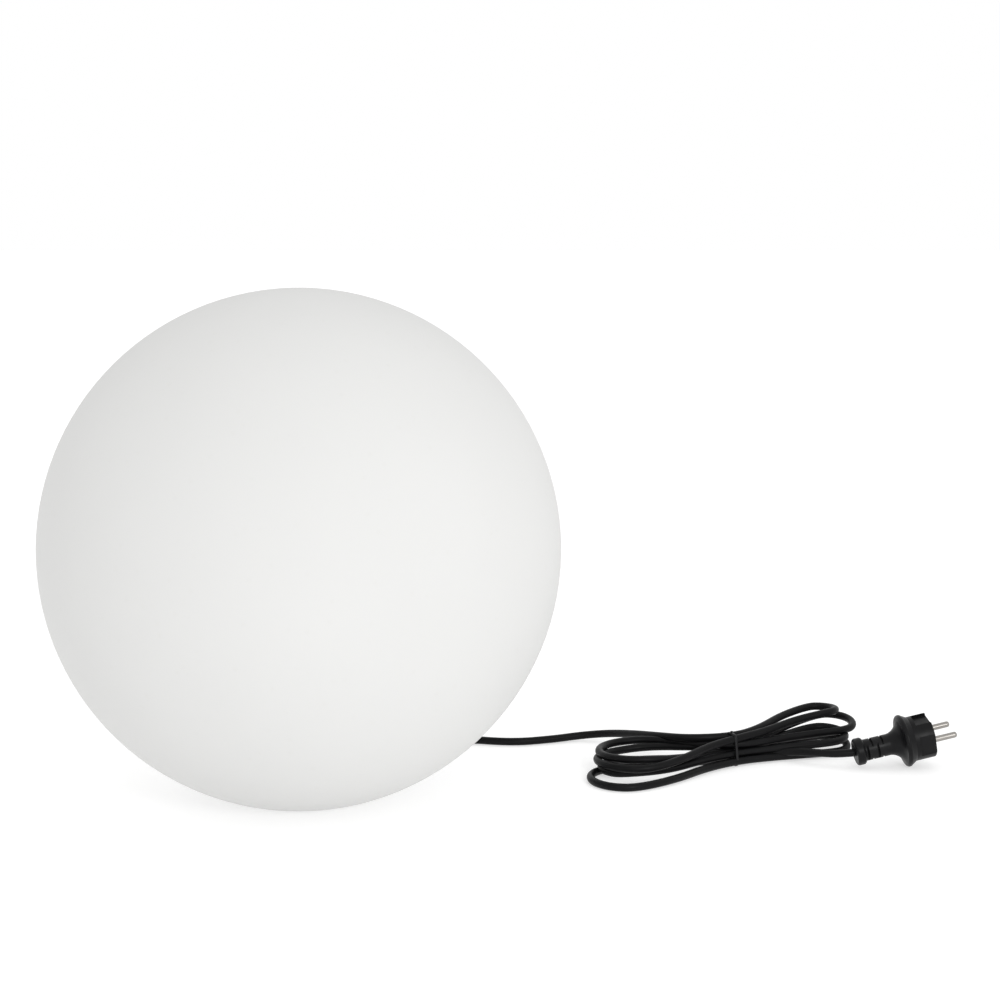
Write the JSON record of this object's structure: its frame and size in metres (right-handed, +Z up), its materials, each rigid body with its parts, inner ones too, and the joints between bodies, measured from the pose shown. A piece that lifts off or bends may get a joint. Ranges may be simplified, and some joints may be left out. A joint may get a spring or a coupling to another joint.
{
  "type": "ball lamp with mains cord",
  "caption": "Matt white ball lamp on a hidden twist-off base with lampholder and bulb; a black mains cord leaves under the ball, is tied in a hank and ends in a round contour plug.",
  "frame": {"origin": "on the floor under the ball's centre, in the plane of the feet", "axes": "+Z up along the ball's upright axis; +X to the side where the tied cord lies; +Y to the back"},
  "size_m": [0.7202, 0.3998, 0.391],
  "materials": {
    "opal_globe": "matt, opal",
    "neck_ring": "matt",
    "base": "matt",
    "black_rubber": "matt",
    "red_rubber": "matt",
    "holder": "satin",
    "ceramic": "glazed",
    "brass": "satin",
    "steel": "satin",
    "aluminium": "satin",
    "gland": "matt",
    "live_wire": "satin",
    "neutral_wire": "satin",
    "bulb_housing": "satin",
    "bulb_diffuser": "matt, opal",
    "circuit_board": "satin",
    "led_yellow": "satin",
    "driver_board": "satin",
    "plug_rubber": "satin",
    "plug_core": "satin",
    "nickel": "bright",
    "tie": "satin"
  },
  "bodies": {
    "base": {"base_housing": "base", "rubber_feet": "black_rubber", "holder_pedestal": "base", "pedestal_screws": "steel", "holder_cap": "holder", "holder_shell": "holder", "holder_insulator": "ceramic", "screw_sleeve": "brass", "holder_terminals": "brass", "terminal_screws": "steel", "gland_body": "gland", "gland_washer": "red_rubber", "gland_locknut": "gland", "cord_sheath_end": "black_rubber", "wire_live": "live_wire", "wire_neutral": "neutral_wire", "mains_cord": "black_rubber", "cord_hank": "black_rubber", "cord_tail": "black_rubber", "hank_tie": "tie", "plug_body": "plug_rubber", "plug_core": "plug_core", "plug_pins": "nickel", "plug_crimps": "brass"},
    "seal": {"neck_seal": "black_rubber"},
    "globe": {"globe_shell": "opal_globe", "neck_ring": "neck_ring"},
    "contact": {"centre_contact": "brass"},
    "bulb_tip": {"bulb_tip_contact": "brass"},
    "bulb": {"bulb_cap": "aluminium", "bulb_cap_insulator": "ceramic", "bulb_housing": "bulb_housing", "bulb_diffuser": "bulb_diffuser", "bulb_led_board": "circuit_board", "bulb_leds": "led_yellow", "bulb_driver": "driver_board"},
    "gland_seal_ring": {"gland_seal": "black_rubber"},
    "gland_nut": {"gland_nut": "gland"}
  },
  "joints": [
    {"name": "globe_rise", "type": "slide", "parent": "base", "child": "seal", "axis": [0, 0, 1], "range_m": [0, 0.008]},
    {"name": "globe_turn", "type": "hinge", "parent": "seal", "child": "globe", "pos_m": [0, 0, 0.027], "axis": [0, 0, 1], "range_deg": [0, 45]},
    {"name": "bulb_rise", "type": "slide", "parent": "base", "child": "bulb_tip", "axis": [0, 0, 1], "range_m": [0, 0.01452]},
    {"name": "bulb_turn", "type": "hinge", "parent": "bulb_tip", "child": "bulb", "pos_m": [0, 0, 0.12], "axis": [0, 0, 1], "range_deg": [0, 1440]},
    {"name": "contact_press", "type": "slide", "parent": "base", "child": "contact", "axis": [0, 0, 1], "range_m": [-0.001, 0], "stiffness_N_per_m": 500},
    {"name": "gland_nut_drop", "type": "slide", "parent": "base", "child": "gland_seal_ring", "axis": [0, 0, -1], "range_m": [0, 0.0045]},
    {"name": "gland_nut_turn", "type": "hinge", "parent": "gland_seal_ring", "child": "gland_nut", "pos_m": [-0.01221, -0.02296, 0.04], "axis": [0, 0, -1], "range_deg": [0, 1080]}
  ],
  "couplings": [
    {"joint": "globe_rise", "follows": "globe_turn", "m_per_rad": 0.010186},
    {"joint": "bulb_turn", "follows": "bulb_rise", "rad_per_m": 1730.9},
    {"joint": "gland_nut_turn", "follows": "gland_nut_drop", "rad_per_m": 4188.8}
  ]
}
